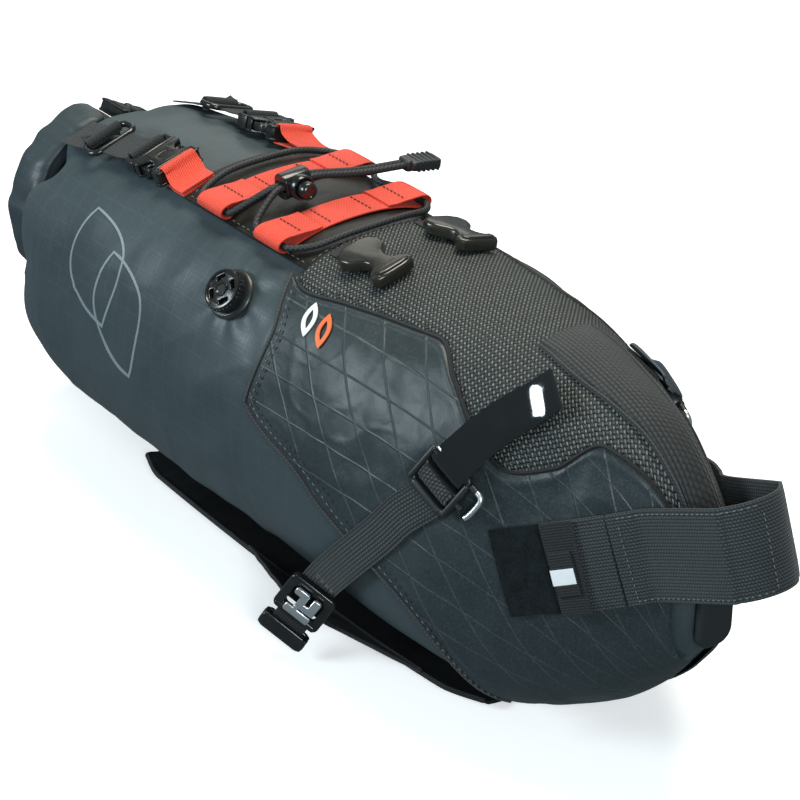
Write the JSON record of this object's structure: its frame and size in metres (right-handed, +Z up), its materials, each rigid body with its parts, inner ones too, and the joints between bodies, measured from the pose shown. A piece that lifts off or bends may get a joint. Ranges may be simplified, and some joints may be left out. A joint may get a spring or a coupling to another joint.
{
  "type": "saddle bag",
  "caption": "Roll-top saddle bag in a strap-on holster, with lashing strips, shock cord, purge valve, rail hooks, side compression straps and a seatpost strap.",
  "frame": {"origin": "middle of the bounding box, on the resting plane under the belly sling", "axes": "+X towards the nose and seatpost, +Y to the rider's left, +Z up with the belly level"},
  "size_m": [0.5522, 0.1984, 0.2005],
  "materials": {
    "coated_ripstop": "smooth coated ripstop, satin",
    "laminate": "laminated sailcloth with raised diamond yarns",
    "ballistic_weave": "coarse basket weave",
    "flap_fabric": "coated fabric with topstitching",
    "red_webbing": "woven webbing",
    "black_webbing": "woven webbing",
    "loop_pile": "fuzzy loop pile",
    "black_plastic": "moulded acetal, semi-gloss",
    "shock_cord": "braided elastic cord",
    "gloss_film": "glossy coated webbing",
    "polished_steel": "polished wire and plate",
    "grey_pad": "soft moulded pad"
  },
  "bodies": {
    "bag": {"belly_sling": "black_webbing", "buckle_tab_left": "red_webbing", "buckle_tab_right": "red_webbing", "cord_lock_body": "black_plastic", "cord_pull_tab": "black_plastic", "daisy_strip_front": "red_webbing", "daisy_strip_rear": "red_webbing", "drybag_shell": "coated_ripstop", "flap_rear_binding": "flap_fabric", "hook_frame_left": "black_plastic", "hook_frame_right": "black_plastic", "hook_tail_left": "black_webbing", "hook_tail_right": "black_webbing", "loop_patch": "loop_pile", "nose_gusset": "black_webbing", "nose_pad": "grey_pad", "roll_buckle_female": "black_plastic", "roll_closure": "coated_ripstop", "roll_strap_left": "black_webbing", "roll_strap_right": "black_webbing", "seatpost_strap": "black_webbing", "shock_cord": "shock_cord", "side_panel_left": "laminate", "side_panel_right": "laminate", "side_tab_left": "gloss_film", "side_tab_right": "gloss_film", "side_webbing_left": "black_webbing", "side_webbing_right": "black_webbing", "sling_wing_left": "black_webbing", "sling_wing_right": "black_webbing", "tail_anchor_left": "coated_ripstop", "tail_anchor_right": "coated_ripstop", "tail_ring_left": "black_plastic", "tail_ring_right": "black_plastic", "tail_slide_left": "black_plastic", "tail_slide_right": "black_plastic", "tail_strap_left": "black_webbing", "tail_strap_right": "black_webbing", "top_buckle_female_left": "black_plastic", "top_buckle_female_right": "black_plastic", "top_flap": "flap_fabric", "top_panel": "ballistic_weave", "valve_base": "black_plastic"},
    "valve_cap": {"valve_cap": "black_plastic"},
    "roll_male": {"roll_buckle_male": "black_plastic"},
    "top_male_right": {"top_buckle_male_right": "black_plastic"},
    "top_male_left": {"top_buckle_male_left": "black_plastic"},
    "lock_button": {"cord_lock_button": "black_plastic"},
    "rail_hook_right": {"rail_hook_right": "black_plastic"},
    "rail_hook_left": {"rail_hook_left": "black_plastic"},
    "ladder_right": {"ladder_lock_right": "black_plastic", "ladder_pin_right": "polished_steel"},
    "ladder_left": {"ladder_lock_left": "black_plastic", "ladder_pin_left": "polished_steel"},
    "side_hook_right": {"side_hook_right": "polished_steel"},
    "side_hook_left": {"side_hook_left": "polished_steel"},
    "strap_end": {"strap_end": "black_webbing", "strap_tag": "black_webbing"}
  },
  "joints": [
    {"name": "valve_twist", "type": "hinge", "parent": "bag", "child": "valve_cap", "pos_m": [-0.03798, -0.06431, 0.15606], "axis": [0.0442, -0.7656, 0.6418], "range_deg": [0, 90]},
    {"name": "roll_buckle_release", "type": "slide", "parent": "bag", "child": "roll_male", "axis": [0, 0.9063, -0.4226], "range_m": [0, 0.016], "deforming": ["roll_strap_left"]},
    {"name": "top_buckle_release_right", "type": "slide", "parent": "bag", "child": "top_male_right", "axis": [-0.9975, 0.0026, -0.0706], "range_m": [0, 0.014], "deforming": ["tail_strap_right"]},
    {"name": "top_buckle_release_left", "type": "slide", "parent": "bag", "child": "top_male_left", "axis": [-0.9975, -0.0026, -0.0706], "range_m": [0, 0.014], "deforming": ["tail_strap_left"]},
    {"name": "cord_lock_press", "type": "slide", "parent": "bag", "child": "lock_button", "axis": [-0.9998, -0.0087, 0.0182], "range_m": [0, 0.003], "stiffness_N_per_m": 900},
    {"name": "rail_hook_lift_right", "type": "hinge", "parent": "bag", "child": "rail_hook_right", "pos_m": [0.00696, -0.0251, 0.18403], "axis": [0.03, -0.9732, -0.2281], "range_deg": [0, 80]},
    {"name": "ladder_tilt_right", "type": "hinge", "parent": "bag", "child": "ladder_right", "pos_m": [0.13174, -0.06186, 0.13922], "axis": [-0.8778, -0.0924, 0.47], "range_deg": [0, 30]},
    {"name": "side_hook_open_right", "type": "hinge", "parent": "bag", "child": "side_hook_right", "pos_m": [0.05199, -0.08441, 0.03862], "axis": [-0.7102, -0.4501, 0.5412], "range_deg": [0, 70]},
    {"name": "rail_hook_lift_left", "type": "hinge", "parent": "bag", "child": "rail_hook_left", "pos_m": [0.00696, 0.0251, 0.18403], "axis": [-0.03, -0.9732, 0.2281], "range_deg": [0, 80]},
    {"name": "ladder_tilt_left", "type": "hinge", "parent": "bag", "child": "ladder_left", "pos_m": [0.13174, 0.06186, 0.13922], "axis": [0.8778, -0.0924, -0.47], "range_deg": [0, 30]},
    {"name": "side_hook_open_left", "type": "hinge", "parent": "bag", "child": "side_hook_left", "pos_m": [0.05199, 0.08441, 0.03862], "axis": [0.7102, -0.4501, -0.5412], "range_deg": [0, 70]},
    {"name": "strap_peel", "type": "hinge", "parent": "bag", "child": "strap_end", "pos_m": [0.20705, -0.0337, 0.11669], "axis": [-0.342, 0, 0.9397], "range_deg": [0, 60]}
  ]
}
